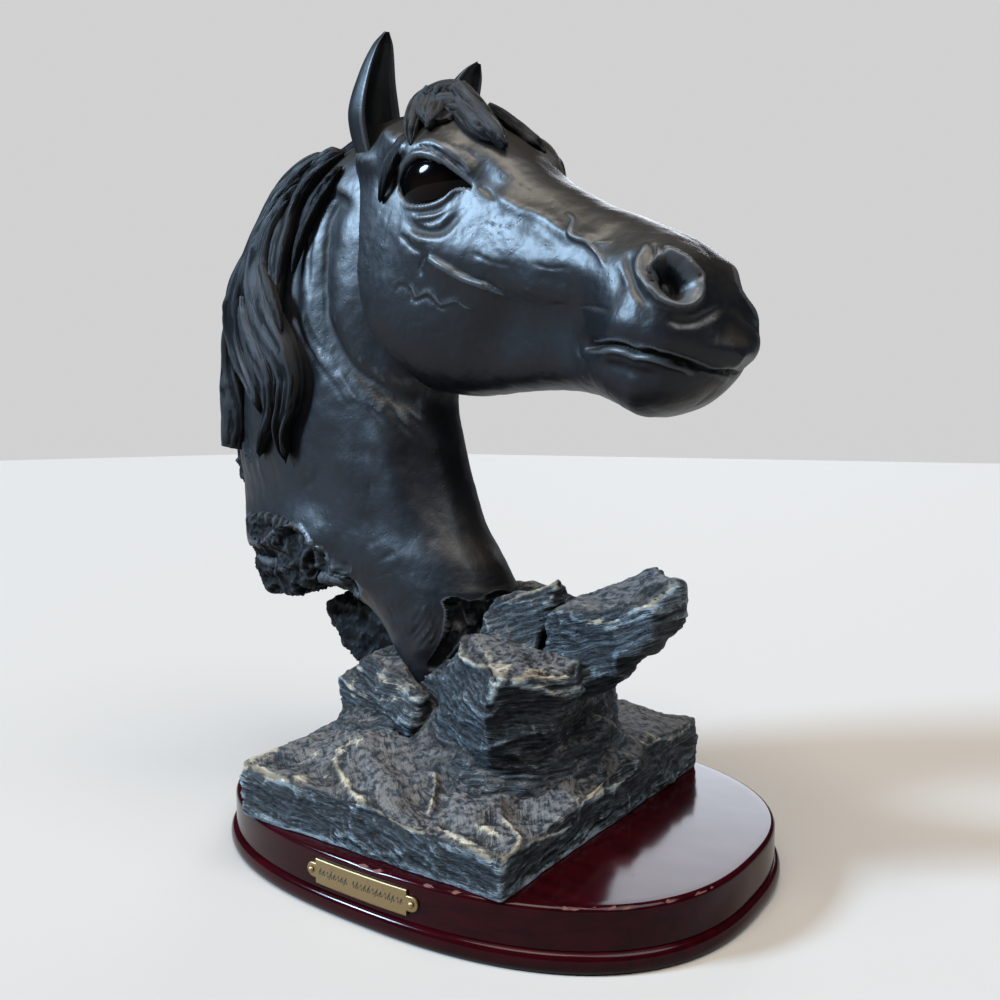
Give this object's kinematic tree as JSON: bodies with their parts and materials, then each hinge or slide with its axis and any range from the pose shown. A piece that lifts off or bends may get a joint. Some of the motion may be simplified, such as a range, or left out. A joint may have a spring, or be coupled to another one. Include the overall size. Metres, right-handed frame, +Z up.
{
  "type": "horse head sculpture",
  "caption": "Cast horse head and neck with a falling mane, rising out of broken rocks, on an oval lacquered wooden plinth with a small brass plate.",
  "frame": {"origin": "centre of the plinth's underside", "axes": "+Z up; +X along the plinth's long axis, the way the horse faces; +Y to the horse's left, away from the name plate"},
  "size_m": [0.3278, 0.2038, 0.3906],
  "materials": {
    "casting_paint": "satin blue-black paint over cast resin, warm brown on the planes that face up",
    "rock_paint": "slate-coloured paint over cast resin, dry-brushed cream and pale blue on the ridges",
    "eye_gloss": "gloss-painted eye, dark brown low in the iris",
    "cherry_lacquer": "dark cherry gloss lacquer with worn chips along the top edge",
    "plate_brass": "brushed brass, lightly tarnished"
  },
  "bodies": {
    "root": {"horse_head_casting": "casting_paint", "plinth": "cherry_lacquer", "name_plate": "plate_brass", "plate_pin_left": "plate_brass", "plate_pin_right": "plate_brass"}
  },
  "joints": []
}
